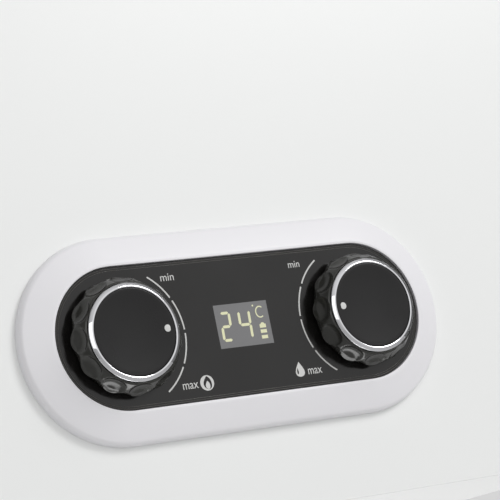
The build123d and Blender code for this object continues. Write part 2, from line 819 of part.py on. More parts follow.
# Battery box with hinge ears behind its opening, its lid and the contacts of its two cells
with BuildPart() as battery_box:
    with BuildSketch(level(-half_height)):
        with Locations((box_center_x, (box_front + box_back) / 2)):
            Rectangle(box_right - box_left, box_back - box_front)
    extrude(amount=box_roof_z + box_wall + half_height)
    with BuildSketch(level(-half_height + sheet)):
        with Locations((box_center_x, (box_front + box_back) / 2)):
            Rectangle(
                box_right - box_left + 2 * (lid_gap + box_flange), box_back - box_front + 2 * lid_gap
            )
    extrude(amount=sheet)
    with BuildSketch(level(-half_height)):
        with Locations((box_center_x, (box_inner_front + box_inner_back) / 2)):
            Rectangle(box_inner_x, box_inner_y)
    extrude(amount=box_roof_z + half_height, mode=Mode.SUBTRACT)
    with BuildSketch(level(-half_height)):
        with Locations((box_center_x, (box_inner_back + box_back - box_wall) / 2)):
            Rectangle(box_inner_x - 2 * hinge_ear, box_back - box_wall - box_inner_back)
    extrude(amount=2 * hinge_radius + lid_gap, mode=Mode.SUBTRACT)
    with BuildSketch(side_plane(box_left)):
        with Locations((hinge_y, hinge_z)):
            Circle(hinge_pin_radius + running_gap)
    extrude(amount=box_right - box_left, mode=Mode.SUBTRACT)
save(battery_box.part, "battery_box")

lid_width = box_inner_x - 2 * lid_gap
barrel_width = box_inner_x - 2 * hinge_ear - 2 * lid_gap
lid_front = box_inner_front + lid_gap
lid_back = box_inner_back - lid_back_gap
finger_width = 24.0
with BuildPart() as battery_lid:
    with BuildSketch(level(-half_height)):
        with Locations((box_center_x, (lid_front + lid_back) / 2)):
            Rectangle(lid_width, lid_back - lid_front)
        with Locations((box_center_x, (lid_back + hinge_y) / 2)):
            Rectangle(barrel_width, hinge_y - lid_back)
    extrude(amount=lid_thickness)
    with BuildSketch(side_plane(box_center_x - barrel_width / 2)):
        with Locations((hinge_y, hinge_z)):
            Circle(hinge_radius)
    extrude(amount=barrel_width)
    with BuildSketch(side_plane(box_center_x - box_inner_x / 2)):
        with Locations((hinge_y, hinge_z)):
            Circle(hinge_pin_radius)
    extrude(amount=box_inner_x)
    with BuildSketch(level(-half_height)):
        with Locations((box_center_x, lid_front + 2 * lid_thickness)):
            Rectangle(finger_width, lid_thickness)
    extrude(amount=lid_thickness / 2, mode=Mode.SUBTRACT)
save(battery_lid.part, "battery_lid")

cell_z = box_roof_z - cell_gap / 2 - cell_radius
contacts = []
contact_size = 1.2 * cell_radius
for contact_side in (-1, 1):
    contact_x = box_center_x + contact_side * box_inner_x / 2
    span = box_inner_y - 2 * cell_gap if contact_side < 0 else contact_size
    for contact_y in ([0] if contact_side < 0 else [-1, 1]):
        middle_y = (box_inner_front + box_inner_back) / 2 + contact_y * (cell_radius + cell_gap / 2)
        with BuildPart() as contact:
            with BuildSketch(side_plane(contact_x)):
                with Locations((middle_y, cell_z)):
                    Rectangle(span, contact_size)
            extrude(amount=-contact_side * contact_thickness)
        contacts.append(contact.part)
save(Compound(children=contacts), "battery_contacts")

# Burner: frame, bars, injectors and the manifold that feeds them from the gas valve
burner_top = burner_bottom + burner_height
frame_half = chamber_width / 2
with BuildPart() as burner_frame:
    with BuildSketch(level(burner_bottom)):
        with Locations((0, chamber_mid_y)):
            Rectangle(2 * frame_half, chamber_back - chamber_front)
            Rectangle(
                2 * (frame_half - burner_frame_sheet),
                chamber_back - chamber_front - 2 * burner_frame_sheet,
                mode=Mode.SUBTRACT,
            )
    extrude(amount=chamber_bottom - burner_bottom)
save(burner_frame.part, "burner_frame")

bar_pitch = 2 * (frame_half - burner_frame_sheet) / burner_bar_count
bar_length = chamber_back - chamber_front - 2 * burner_frame_sheet
bars = []
for bar_index in range(burner_bar_count):
    bar_x = (bar_index - (burner_bar_count - 1) / 2) * bar_pitch
    with BuildPart() as bar:
        with BuildSketch(level(burner_bottom)):
            with Locations((bar_x, chamber_mid_y)):
                Rectangle(burner_bar_width, bar_length)
        extrude(amount=burner_height)
        with BuildSketch(level(burner_top)):
            with Locations((bar_x, chamber_mid_y)):
                with GridLocations(0, bar_length / (port_count + 1), 1, port_count):
                    Rectangle(burner_bar_width - 2 * port_width, port_width)
        extrude(amount=-port_depth, mode=Mode.SUBTRACT)
    bars.append(bar.part)
save(Compound(children=bars), "burner_bars")

manifold_y = chamber_front + 2 * manifold_radius
manifold_z = burner_bottom - 2 * injector_radius - manifold_radius
riser_y = manifold_y + riser_offset
with BuildPart() as gas_manifold:
    with BuildSketch(side_plane(-frame_half)):
        with Locations((manifold_y, manifold_z)):
            Circle(manifold_radius)
    extrude(amount=2 * frame_half)
    with BuildSketch(level(valve_top)):
        with Locations((-knob_x, riser_y)):
            Circle(manifold_radius)
    extrude(amount=manifold_z - valve_top)
    with BuildSketch(room_plane(riser_y)):
        with Locations((-knob_x, manifold_z)):
            Circle(manifold_radius)
    extrude(amount=manifold_radius)
save(gas_manifold.part, "gas_manifold")

injectors = []
injector_base_z = manifold_z + 0.9 * manifold_radius
for bar_index in range(burner_bar_count):
    bar_x = (bar_index - (burner_bar_count - 1) / 2) * bar_pitch
    with BuildPart() as injector:
        with BuildSketch(level(injector_base_z)):
            with Locations((bar_x, manifold_y)):
                Circle(injector_radius)
        extrude(amount=burner_bottom - injector_base_z)
        with BuildSketch(side_plane(-frame_half)):
            with Locations((manifold_y, manifold_z)):
                Circle(manifold_radius)
        extrude(amount=2 * frame_half, mode=Mode.SUBTRACT)
    injectors.append(injector.part)
save(Compound(children=injectors), "injectors")

# Ignition and flame electrodes in front of the burner, and the igniter box beside it
electrode_radius = 2.5
electrode_height = 34.0
electrode_margin = 10.0
electrode_xs = (-18.0, 18.0, 30.0)
electrodes = []
electrode_y = chamber_front - 2 * electrode_radius
for electrode_x in electrode_xs:
    with BuildPart() as electrode:
        with BuildSketch(level(burner_top - electrode_height)):
            with Locations((electrode_x, electrode_y)):
                Circle(electrode_radius)
        extrude(amount=electrode_height)
    electrodes.append(electrode.part)

electrode_bracket = slab(
    (electrode_xs[0] - electrode_margin, electrode_xs[-1] + electrode_margin),
    (electrode_y + electrode_radius, chamber_front),
    (burner_top - electrode_height, burner_top - electrode_height / 2),
)
electrodes.append(electrode_bracket)
save(Compound(children=electrodes), "electrodes")
igniter_side_gap = 6.0
igniter_width = 41.0
igniter_length = 44.0
igniter_height = 38.0
igniter_drop = 10.0
igniter_right = half_width - sheet - igniter_side_gap
igniter_front = bracket_y + bracket_thickness
igniter_box = slab(
    (igniter_right - igniter_width, igniter_right),
    (igniter_front, igniter_front + igniter_length),
    (control_z - igniter_drop, control_z - igniter_drop + igniter_height),
)
save(igniter_box, "igniter_box")

# Combustion chamber and fin block in one copper shell, open above and below
fin_bottom = chamber_top - fin_height - 2 * fin_clearance
tube_mid_z = chamber_top - fin_clearance - fin_height / 2
tube_places = []
for tube_index in range(fin_tube_count):
    tube_y = chamber_mid_y + (tube_index - (fin_tube_count - 1) / 2) * fin_tube_pitch
    tube_places.append((tube_y, tube_mid_z))
with BuildPart() as heat_exchanger:
    with BuildSketch(level(chamber_bottom)):
        with Locations((0, chamber_mid_y)):
            Rectangle(chamber_width, chamber_back - chamber_front)
            Rectangle(
                chamber_width - 2 * chamber_sheet,
                chamber_back - chamber_front - 2 * chamber_sheet,
                mode=Mode.SUBTRACT,
            )
    extrude(amount=chamber_top - chamber_bottom)
    with BuildSketch(side_plane(-chamber_width / 2)):
        with Locations(*tube_places):
            Circle(fin_tube_radius)
    extrude(amount=chamber_width, mode=Mode.SUBTRACT)
save(heat_exchanger.part, "heat_exchanger_shell")

fins = []
fin_pitch = (chamber_width - 2 * chamber_sheet) / (fin_count + 1)
for fin_index in range(fin_count):
    fin_x = (fin_index - (fin_count - 1) / 2) * fin_pitch
    with BuildPart() as fin:
        with BuildSketch(side_plane(fin_x - fin_thickness / 2)):
            with Locations((chamber_mid_y, tube_mid_z)):
                Rectangle(chamber_back - chamber_front - 2 * chamber_sheet, fin_height)
            with Locations(*tube_places):
                Circle(fin_tube_radius, mode=Mode.SUBTRACT)
        extrude(amount=fin_thickness)
    fins.append(fin.part)
save(Compound(children=fins), "exchanger_fins")

tube_end = chamber_width / 2 + fin_tube_overhang
fin_tubes = []
for tube_y, tube_z in tube_places:
    with BuildPart() as fin_tube:
        with BuildSketch(side_plane(-tube_end)):
            with Locations((tube_y, tube_z)):
                Circle(fin_tube_radius)
                Circle(fin_tube_radius - fin_tube_wall, mode=Mode.SUBTRACT)
        extrude(amount=2 * tube_end)
    fin_tubes.append(fin_tube.part)

# Return bends that join the fin tubes in pairs: the middle pair on the right, the outer on the left
for bend_side, first in ((-1, 0), (1, 1), (-1, 2)):
    first_y = tube_places[first][0]
    turn_y = first_y + fin_tube_pitch / 2
    with BuildPart() as bend:
        with BuildSketch(side_plane(bend_side * tube_end)):
            with Locations((first_y, tube_mid_z)):
                Circle(fin_tube_radius)
                Circle(fin_tube_radius - fin_tube_wall, mode=Mode.SUBTRACT)
        turn_axis = Axis((bend_side * tube_end, turn_y, tube_mid_z), (0, 0, bend_side))
        revolve(axis=turn_axis, revolution_arc=180)
    fin_tubes.append(bend.part)
save(Compound(children=fin_tubes), "exchanger_tubes")


def pipe(name, points, bend_radius):
    """A copper pipe swept along straight runs with tangent bends."""
    with BuildPart() as tube:
        with BuildLine():
            FilletPolyline(*points, radius=bend_radius)
        start = Vector(*points[0])
        heading = Vector(*points[1]) - start
        with BuildSketch(Plane(origin=start, z_dir=heading)):
            Circle(coil_tube_radius)
            Circle(coil_tube_radius - coil_tube_wall, mode=Mode.SUBTRACT)
        sweep()
    save(tube.part, name)


# The cold feed climbs behind the chamber, goes round it once and enters the front fin tube
pipe_gap = 4.0
pipe_x = chamber_width / 2 + coil_tube_radius + pipe_gap
pipe_back_y = chamber_back + coil_tube_radius + pipe_gap
pipe_front_y = chamber_front - coil_tube_radius - pipe_gap
feed_x = water_valve_right - 2 * coil_tube_radius
feed_y = valve_back - 2 * coil_tube_radius
first_turn_z = chamber_bottom + coil_start_rise
bend = coil_bend_ratio * coil_tube_radius
climb = 1.2 * bend
hot_cross_z = tube_mid_z - 2.6 * bend
entry_x = tube_end
front_tube_y = tube_places[0][0]
back_tube_y = tube_places[-1][0]
feed_points = [
    (feed_x, feed_y, valve_top),
    (feed_x, feed_y, valve_top + climb),
    (feed_x, pipe_back_y, valve_top + 2 * climb),
    (feed_x, pipe_back_y, first_turn_z),
    (-pipe_x, pipe_back_y, first_turn_z),
    (-pipe_x, pipe_front_y, first_turn_z + coil_turn_rise / 2),
    (pipe_x + bend, pipe_front_y, first_turn_z + coil_turn_rise),
    (pipe_x + bend, front_tube_y, tube_mid_z),
    (entry_x, front_tube_y, tube_mid_z),
]
pipe("cold_feed_pipe", feed_points, bend)

# The hot pipe leaves the rear tube on the right, crosses behind the hood and drops to the outlet
hot_points = [
    (entry_x, back_tube_y, tube_mid_z),
    (pipe_x + bend, back_tube_y, tube_mid_z),
    (pipe_x + bend, hot_y, hot_cross_z),
    (hot_x, hot_y, hot_cross_z),
    (hot_x, hot_y, hot_tail_top),
]
pipe("hot_return_pipe", hot_points, bend)

# Draught hood over the exchanger and the flue collar on it
hood_bottom = chamber_top
hood_top = hood_bottom + hood_rise
with BuildPart() as flue_hood:
    for inset, hood_mode in ((0, Mode.ADD), (chamber_sheet, Mode.SUBTRACT)):
        with BuildSketch(level(hood_bottom)):
            with Locations((0, chamber_mid_y)):
                RectangleRounded(
                    chamber_width - 2 * inset,
                    chamber_back - chamber_front - 2 * inset,
                    3 * chamber_sheet - inset,
                )
        with BuildSketch(level(hood_top)):
            with Locations((0, -hood_depth)):
                RectangleRounded(
                    2 * (collar_pipe_radius + hood_mouth_margin - inset),
                    2 * (collar_pipe_radius - hood_mouth_trim - inset),
                    hood_corner_radius - inset,
                )
        loft(mode=hood_mode)
save(flue_hood.part, "flue_hood")

collar_bottom = hood_top
with BuildPart() as flue_collar:
    with BuildSketch(level(collar_bottom)):
        with Locations((0, -hood_depth)):
            Circle(collar_pipe_radius)
            Circle(collar_pipe_radius - collar_pipe_wall, mode=Mode.SUBTRACT)
    extrude(amount=half_height + collar_rise - collar_bottom)
    with BuildSketch(level(half_height + sheet)):
        with Locations((0, -hood_depth)):
            Circle(collar_pipe_radius + bead_rise)
            Circle(collar_pipe_radius - collar_pipe_wall, mode=Mode.SUBTRACT)
    extrude(amount=bead_height)
    with BuildSketch(level(collar_bottom)):
        with Locations((0, -hood_depth)):
            RectangleRounded(
                2 * (collar_pipe_radius + collar_flange),
                2 * (collar_pipe_radius + collar_flange),
                collar_flange_corner,
            )
            Circle(collar_pipe_radius - collar_pipe_wall, mode=Mode.SUBTRACT)
    extrude(amount=chamber_sheet)
save(flue_collar.part, "flue_collar")

# Safety sensors: draught sensor on the collar's flange, overheat thermostat on the chamber's side
sensor_size = 10.0
sensor_offset = 46.0
draught_sensor = slab(
    (sensor_offset - sensor_size / 2, sensor_offset + sensor_size / 2),
    (sensor_offset - hood_depth - sensor_size / 2, sensor_offset - hood_depth + sensor_size / 2),
    (hood_top + chamber_sheet, hood_top + chamber_sheet + sensor_size),
)
save(draught_sensor, "draught_sensor")
overheat_thermostat = slab(
    (-chamber_width / 2 - sensor_size / 2, -chamber_width / 2),
    (chamber_mid_y - sensor_size, chamber_mid_y + sensor_size),
    (chamber_bottom + 2 * sensor_size, chamber_bottom + 4 * sensor_size),
)
save(overheat_thermostat, "overheat_thermostat")

# Brackets that carry the chamber and the valves on the back plate
bracket_width = 20.0
bracket_sheet = 3.0
upper_bracket_x = 60.0
lower_bracket_x = 30.0
upper_bracket_z = chamber_bottom + 126.0
lower_bracket_z = chamber_bottom + 10.0
bracket_places = (
    (-upper_bracket_x, upper_bracket_z),
    (upper_bracket_x, upper_bracket_z),
    (-lower_bracket_x, lower_bracket_z),
    (lower_bracket_x, lower_bracket_z),
)
chamber_brackets = []
for bracket_x, bracket_z in bracket_places:
    chamber_brackets.append(
        slab(
            (bracket_x - bracket_width / 2, bracket_x + bracket_width / 2),
            (chamber_back, -back_sheet),
            (bracket_z - bracket_sheet / 2, bracket_z + bracket_sheet / 2),
        )
    )
save(Compound(children=chamber_brackets), "chamber_brackets")

valve_brackets = []
for bracket_x in ((gas_valve_left + gas_x) / 2, (water_valve_left + cold_x) / 2):
    valve_brackets.append(
        slab(
            (bracket_x - bracket_width / 2, bracket_x + bracket_width / 2),
            (valve_back, -back_sheet),
            (valve_top - 5 * bracket_sheet, valve_top - 4 * bracket_sheet),
        )
    )
save(Compound(children=valve_brackets), "valve_brackets")

# Drain plug under the water valve
with BuildPart() as drain_plug:
    with BuildSketch(level(valve_bottom)):
        with Locations((cold_x, rod_y)):
            RegularPolygon(thread_radius / 1.5, 6)
    extrude(amount=-nut_height / 1.5)
save(drain_plug.part, "drain_plug")
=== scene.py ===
import bmesh
import bpy
import numpy as np
from math import cos, pi, radians, sin
from mathutils import Matrix, Vector
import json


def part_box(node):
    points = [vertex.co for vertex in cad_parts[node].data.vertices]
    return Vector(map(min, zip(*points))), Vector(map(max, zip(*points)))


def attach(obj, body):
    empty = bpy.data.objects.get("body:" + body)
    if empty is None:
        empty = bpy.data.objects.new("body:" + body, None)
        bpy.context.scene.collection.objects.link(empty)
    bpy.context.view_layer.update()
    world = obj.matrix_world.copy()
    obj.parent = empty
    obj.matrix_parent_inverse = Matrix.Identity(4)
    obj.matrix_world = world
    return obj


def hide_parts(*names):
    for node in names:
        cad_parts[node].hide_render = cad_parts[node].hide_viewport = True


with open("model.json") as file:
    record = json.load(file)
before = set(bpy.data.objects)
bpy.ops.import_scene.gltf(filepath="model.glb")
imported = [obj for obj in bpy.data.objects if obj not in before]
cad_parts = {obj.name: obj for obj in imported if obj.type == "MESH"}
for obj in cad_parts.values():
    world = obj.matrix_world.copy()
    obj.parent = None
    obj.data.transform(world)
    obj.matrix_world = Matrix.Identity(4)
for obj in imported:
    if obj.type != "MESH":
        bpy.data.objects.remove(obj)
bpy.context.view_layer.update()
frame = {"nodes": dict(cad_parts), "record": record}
mm = 0.001  # everything below is written in millimetres and scaled by this


# general helpers

def linearColour(hexText):
    # sRGB hex to linear: c / 12.92 below 0.04045, else ((c + 0.055) / 1.055) to the power 2.4
    srgb = np.array([int(hexText[i : i + 2], 16) / 255 for i in (0, 2, 4)])
    low = srgb / 12.92
    high = ((srgb + 0.055) / 1.055) ** 2.4
    return (*np.where(srgb <= 0.04045, low, high), 1.0)


def addNode(tree, kind, links=None, **settings):
    # adds one node; a setting whose name is an input socket goes to that socket
    node = tree.nodes.new(kind)
    for name, value in settings.items():
        if hasattr(node, name):
            setattr(node, name, value)
        else:
            node.inputs[name.replace("_", " ")].default_value = value
    for socket, source in (links or {}).items():
        tree.links.new(source, node.inputs[socket])
    return node


def newMaterial(name):
    material = bpy.data.materials.new(name)
    material.use_nodes = True
    return material, material.node_tree, material.node_tree.nodes["Principled BSDF"]


def surfaceMaterial(name, look):
    # one surface: a broad noise varies its roughness, and a fine noise gives its grain as bump
    material, tree, shader = newMaterial(name)
    shader.inputs["Base Color"].default_value = linearColour(look["colour"])
    shader.inputs["Metallic"].default_value = look.get("metallic", 0.0)
    shader.inputs["IOR"].default_value = 1.5
    shader.inputs["Coat Weight"].default_value = look.get("coat", 0.0)
    shader.inputs["Coat Roughness"].default_value = 0.05
    shader.inputs["Specular IOR Level"].default_value = look.get("specular", 0.5)
    place = addNode(tree, "ShaderNodeTexCoord")
    stretch = addNode(
        tree, "ShaderNodeMapping", {"Vector": place.outputs["Object"]}, Scale=look.get("stretch", (1, 1, 1))
    )
    cloud = addNode(
        tree, "ShaderNodeTexNoise", {"Vector": stretch.outputs["Vector"]},
        Scale=1 / (look.get("cloudSize", 30) * mm), Detail=3.0, Roughness=0.5,
    )
    spread = look.get("roughnessSpread", 0.05)
    rough = addNode(
        tree, "ShaderNodeMapRange", {"Value": cloud.outputs["Fac"]},
        From_Min=0.3, From_Max=0.7, To_Min=look["roughness"] - spread, To_Max=look["roughness"] + spread,
    )
    tree.links.new(rough.outputs["Result"], shader.inputs["Roughness"])
    grain = addNode(
        tree, "ShaderNodeTexNoise", {"Vector": stretch.outputs["Vector"]},
        Scale=1 / (look.get("grainSize", 1.0) * mm), Detail=2.0, Roughness=0.6,
    )
    bump = addNode(
        tree, "ShaderNodeBump", {"Height": grain.outputs["Fac"]},
        Strength=look.get("bump", 0.1), Distance=look.get("grainHeight", 0.01) * mm,
    )
    tree.links.new(bump.outputs["Normal"], shader.inputs["Normal"])
    return material


def gridMesh(name, points, material, closeRows=False):
    # points is a (rows, columns, 3) array in mm: each cell becomes a four-sided face, each row closes to a ring
    rows, columns = points.shape[:2]
    index = np.arange(rows * columns).reshape(rows, columns)
    if closeRows:
        index = np.concatenate([index, index[:1]], axis=0)
    index = np.concatenate([index, index[:, :1]], axis=1)
    corners = [index[:-1, :-1], index[:-1, 1:], index[1:, 1:], index[1:, :-1]]
    return meshObject(name, points.reshape(-1, 3), np.stack(corners, axis=-1).reshape(-1, 4), material)


def meshObject(name, points, faces, material, smooth=True):
    mesh = bpy.data.meshes.new(name)
    mesh.from_pydata((np.asarray(points) * mm).tolist(), [], [[int(i) for i in face] for face in faces])
    mesh.update()
    mesh.polygons.foreach_set("use_smooth", np.full(len(mesh.polygons), smooth))
    mesh.materials.append(material)
    piece = bpy.data.objects.new(name, mesh)
    bpy.context.scene.collection.objects.link(piece)
    return piece


def tidyMesh(piece, merge=0.001):
    # merges doubled points and turns every face outwards
    work = bmesh.new()
    work.from_mesh(piece.data)
    bmesh.ops.remove_doubles(work, verts=work.verts, dist=merge * mm)
    bmesh.ops.recalc_face_normals(work, faces=work.faces)
    work.to_mesh(piece.data)
    work.free()


def roundedProfile(corners, radii, steps=6):
    # replaces each inner corner of a flat polyline by an arc tangent to both sides: the arc's centre lies on
    # the corner's bisector, at the radius over the sine of half the corner's angle
    corners = np.asarray(corners, float)
    points = [corners[0]]
    for before, corner, after, radius in zip(corners[:-2], corners[1:-1], corners[2:], radii):
        toBefore = (before - corner) / np.linalg.norm(before - corner)
        toAfter = (after - corner) / np.linalg.norm(after - corner)
        half = np.arccos(np.clip(toBefore @ toAfter, -1, 1)) / 2
        reach = radius / np.tan(half)
        centre = corner + (toBefore + toAfter) / np.linalg.norm(toBefore + toAfter) * radius / np.sin(half)
        first = corner + toBefore * reach - centre
        last = corner + toAfter * reach - centre
        sweep = np.arccos(np.clip(first @ last / radius**2, -1, 1))
        share = np.linspace(0, 1, steps + 1)[:, None]
        arc = (np.sin((1 - share) * sweep) * first + np.sin(share * sweep) * last) / np.sin(sweep)
        points.extend(centre + arc)
    points.append(corners[-1])
    return np.array(points)


# places read from the frame, in millimetres

def boxOf(node):
    low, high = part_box(node)
    return np.array(low) / mm, np.array(high) / mm


bezelLow, bezelHigh = boxOf("bezel")
panelLow, panelHigh = boxOf("control_panel")
windowLow, windowHigh = boxOf("display_window")
controlZ = (panelLow[2] + panelHigh[2]) / 2
panelRadius = (panelHigh[2] - panelLow[2]) / 2
knobHalf = (panelHigh[0] - panelLow[0]) / 2 - panelRadius  # from the middle to each knob's axis
frontY = boxOf("front_cover")[0][1]
panelY = panelLow[1]
rimY = bezelLow[1]


# materials, each named for what the real one is

looks = {
    # baked enamel on sheet steel: an even neutral white with broad soft highlights
    "stove enamel": {
        "colour": "F0F1F0", "roughness": 0.32, "roughnessSpread": 0.012,
        "bump": 0.03, "grainSize": 1.8, "cloudSize": 160,
    },
    # moulded in a finely sparked tool: a trace of violet in the white, and a softer shine than the enamel's
    "satin white ABS": {
        "colour": "EFEEF1", "roughness": 0.34, "roughnessSpread": 0.02, "bump": 0.08, "grainSize": 0.7,
    },
    # a smooth film over black: deep, with blurred reflections of the room
    "glossy black panel film": {"colour": "141312", "roughness": 0.16, "bump": 0.05, "grainSize": 0.8},
    # moulded in a polished tool: crisp highlights along the scallops
    "gloss black ABS": {
        "colour": "2B2B28", "roughness": 0.15, "bump": 0.03, "grainSize": 1.2, "roughnessSpread": 0.02,
    },
    # eroded tool finish: nearly no highlight, so that the face reads blacker than its rim
    "satin black ABS": {
        "colour": "0B0A0B", "roughness": 0.30, "specular": 0.32,
        "bump": 0.14, "grainSize": 0.35, "grainHeight": 0.02,
    },
    # plated and buffed: a mirror of the bright and dark sides of the room
    "polished chrome plate": {
        "colour": "E2E2E5", "metallic": 1.0, "roughness": 0.05, "bump": 0.0, "roughnessSpread": 0.01,
    },
    # matt ink: flat and pale, with hardly any shine
    "pale grey screen print": {"colour": "D2D2D0", "roughness": 0.45, "bump": 0.05},
    # zinc crystals: patches of differing shine on grey metal
    "galvanised sheet": {
        "colour": "B9BCBE", "metallic": 1.0, "roughness": 0.42, "cloudSize": 9, "roughnessSpread": 0.12,
    },
    # thin bright plating on turned and pressed steel: clean grey with soft streaks of light
    "zinc plated steel": {"colour": "B8B9BB", "metallic": 1.0, "roughness": 0.30, "roughnessSpread": 0.06},
    # rolled sheet: its grain runs one way and draws highlights out across it
    "stainless sheet": {
        "colour": "B6B3AF", "metallic": 1.0, "roughness": 0.30, "stretch": (0.2, 1, 1), "bump": 0.2,
    },
    # cast skin: dull grey with a fine pebble
    "die cast aluminium": {
        "colour": "B9BBBD", "metallic": 1.0, "roughness": 0.48, "bump": 0.4, "grainHeight": 0.05,
    },
    # forged and left bare: yellow metal, duller in patches
    "forged brass": {
        "colour": "C9A560", "metallic": 1.0, "roughness": 0.34, "roughnessSpread": 0.08, "bump": 0.2,
    },
    # drawn tube and sheet: warm red metal with slow changes of shine from handling
    "bright copper": {
        "colour": "CE8464", "metallic": 1.0, "roughness": 0.28, "roughnessSpread": 0.08, "cloudSize": 18,
    },
    # moulded seal: dull black
    "nitrile rubber": {"colour": "1B1B1B", "roughness": 0.62, "bump": 0.2},
    # fired glaze: warm white under a glassy coat
    "glazed alumina": {"colour": "ECE8DF", "roughness": 0.22, "coat": 0.4},
    # plain moulding: mid grey, slightly waxy
    "grey polypropylene": {"colour": "9A9B9D", "roughness": 0.48, "bump": 0.3, "grainSize": 0.5},
    # the edge of the film's step: a fine lighter line on black
    "dark moulded edge": {"colour": "4A4843", "roughness": 0.30},
    # unlit display: flat mid grey under a smooth face
    "grey display film": {"colour": "787879", "roughness": 0.24, "bump": 0.02},
    # lit bar: pale yellow, close to white
    "lit display segment": {"colour": "E4E4BC", "roughness": 0.50, "bump": 0.02},
    # green lacquer over copper tracks: a thin even gloss
    "board lacquer": {"colour": "1E5A34", "roughness": 0.30, "bump": 0.1},
    # rolled on: a matt pale ground with a faint cloud in its shine
    "pale floor paint": {"colour": "EDEDED", "roughness": 0.85, "cloudSize": 400, "grainSize": 4},
}
made = {name: surfaceMaterial(name, look) for name, look in looks.items()}

slotLooks = {
    "white_enamel": "stove enamel",
    "white_plastic": "satin white ABS",
    "black_gloss_plastic": "glossy black panel film",
    "black_knob_plastic": "gloss black ABS",
    "black_satin_plastic": "satin black ABS",
    "chrome_plating": "polished chrome plate",
    "pale_grey_paint": "pale grey screen print",
    "smoked_window": "glossy black panel film",
    "grey_plastic": "grey polypropylene",
    "board_green": "board lacquer",
    "galvanised_steel": "galvanised sheet",
    "zinc_steel": "zinc plated steel",
    "stainless_steel": "stainless sheet",
    "cast_aluminium": "die cast aluminium",
    "brass": "forged brass",
    "copper": "bright copper",
    "black_rubber": "nitrile rubber",
    "white_ceramic": "glazed alumina",
}
slotOf = {entry["node"]: entry["material_slot"] for entry in frame["record"]["subparts"]}
for nodeName, nodeObject in frame["nodes"].items():
    material = made[slotLooks[slotOf[nodeName]]]
    if nodeObject.data.materials:
        for index in range(len(nodeObject.data.materials)):
            nodeObject.data.materials[index] = material
    else:
        nodeObject.data.materials.append(material)
print("materials on", len(frame["nodes"]), "nodes")


# bezel

bezelShape = {
    "outer": (bezelHigh[2] - bezelLow[2]) / 2,  # radius of its outer edge
    "inner": panelRadius + 0.25,  # radius of the opening round the panel
    "edgeHeight": 3.4,  # how far the rounded outer edge climbs before the slope
    "edgeDraft": 0.3,  # how far that edge leans in
    "edgeRadius": 2.6,
    "lipWidth": 1.0,
    "lipRadii": (0.45, 0.27),  # towards the slope and towards the panel
    "footWidth": 3.0,  # the part of its back that lies on the cover
    "footRadius": 0.15,
    "backDepth": 2.5,  # how far it reaches behind the panel's face
    "backRadius": 0.1,
}


def stadium(radius, y, arcSteps=64, straightSteps=24):
    # an oval of two half circles about the knob axes joined by straights, from the right end's lowest point
    turn = np.linspace(-pi / 2, pi / 2, arcSteps, endpoint=False)
    right = np.stack([knobHalf + radius * np.cos(turn), radius * np.sin(turn)], axis=1)
    along = np.linspace(knobHalf, -knobHalf, straightSteps, endpoint=False)
    top = np.stack([along, np.full(straightSteps, radius)], axis=1)
    oval = np.concatenate([right, top, -right, -top])
    return np.stack([oval[:, 0], np.full(len(oval), y), controlZ + oval[:, 1]], axis=1)


def sweptOval(name, profile, material):
    # carries a closed profile of (radius, y) pairs round the oval
    rings = np.stack([stadium(radius, y) for radius, y in profile])
    piece = gridMesh(name, rings, material, closeRows=True)
    tidyMesh(piece)
    return piece


def makeBezel(shape):
    slopeTop = shape["inner"] + shape["lipWidth"]
    footInner = shape["outer"] - shape["footWidth"]
    backY = panelY + shape["backDepth"]
    corners = [
        (footInner, frontY),
        (shape["outer"], frontY),
        (shape["outer"] - shape["edgeDraft"], frontY - shape["edgeHeight"]),
        (slopeTop, rimY),
        (shape["inner"], rimY),
        (shape["inner"], backY),
        (footInner, backY),
        (footInner, frontY),
    ]
    backRadii = (shape["backRadius"], shape["backRadius"])
    radii = (shape["footRadius"], shape["edgeRadius"], *shape["lipRadii"], *backRadii)
    return sweptOval("bezel_ring", roundedProfile(corners, radii), made["satin white ABS"])


bezelRing = makeBezel(bezelShape)
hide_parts("bezel")
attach(bezelRing, "case")
print("bezel done")


# knobs: a scalloped body, a chrome trim, a dished face and a pointer dot, each turned about the knob's axis

knobFootY = boxOf("left_knob")[1][1]
knobFaceY = boxOf("left_knob_ring")[0][1]
shoulderY = knobFaceY + 1.5  # where the body's flare ends
pole = 0.01  # radius of the smallest circle, in place of a point on the axis


def turned(centreX, profile, steps):
    # a profile of (radius, y) pairs turned once about an axis along Y through centreX
    turn = np.linspace(0, 2 * pi, steps, endpoint=False)
    radius = profile[:, 0][:, None]
    y = np.repeat(profile[:, 1][:, None], steps, axis=1)
    return np.stack([centreX + radius * np.cos(turn), y, controlZ + radius * np.sin(turn)], axis=-1)


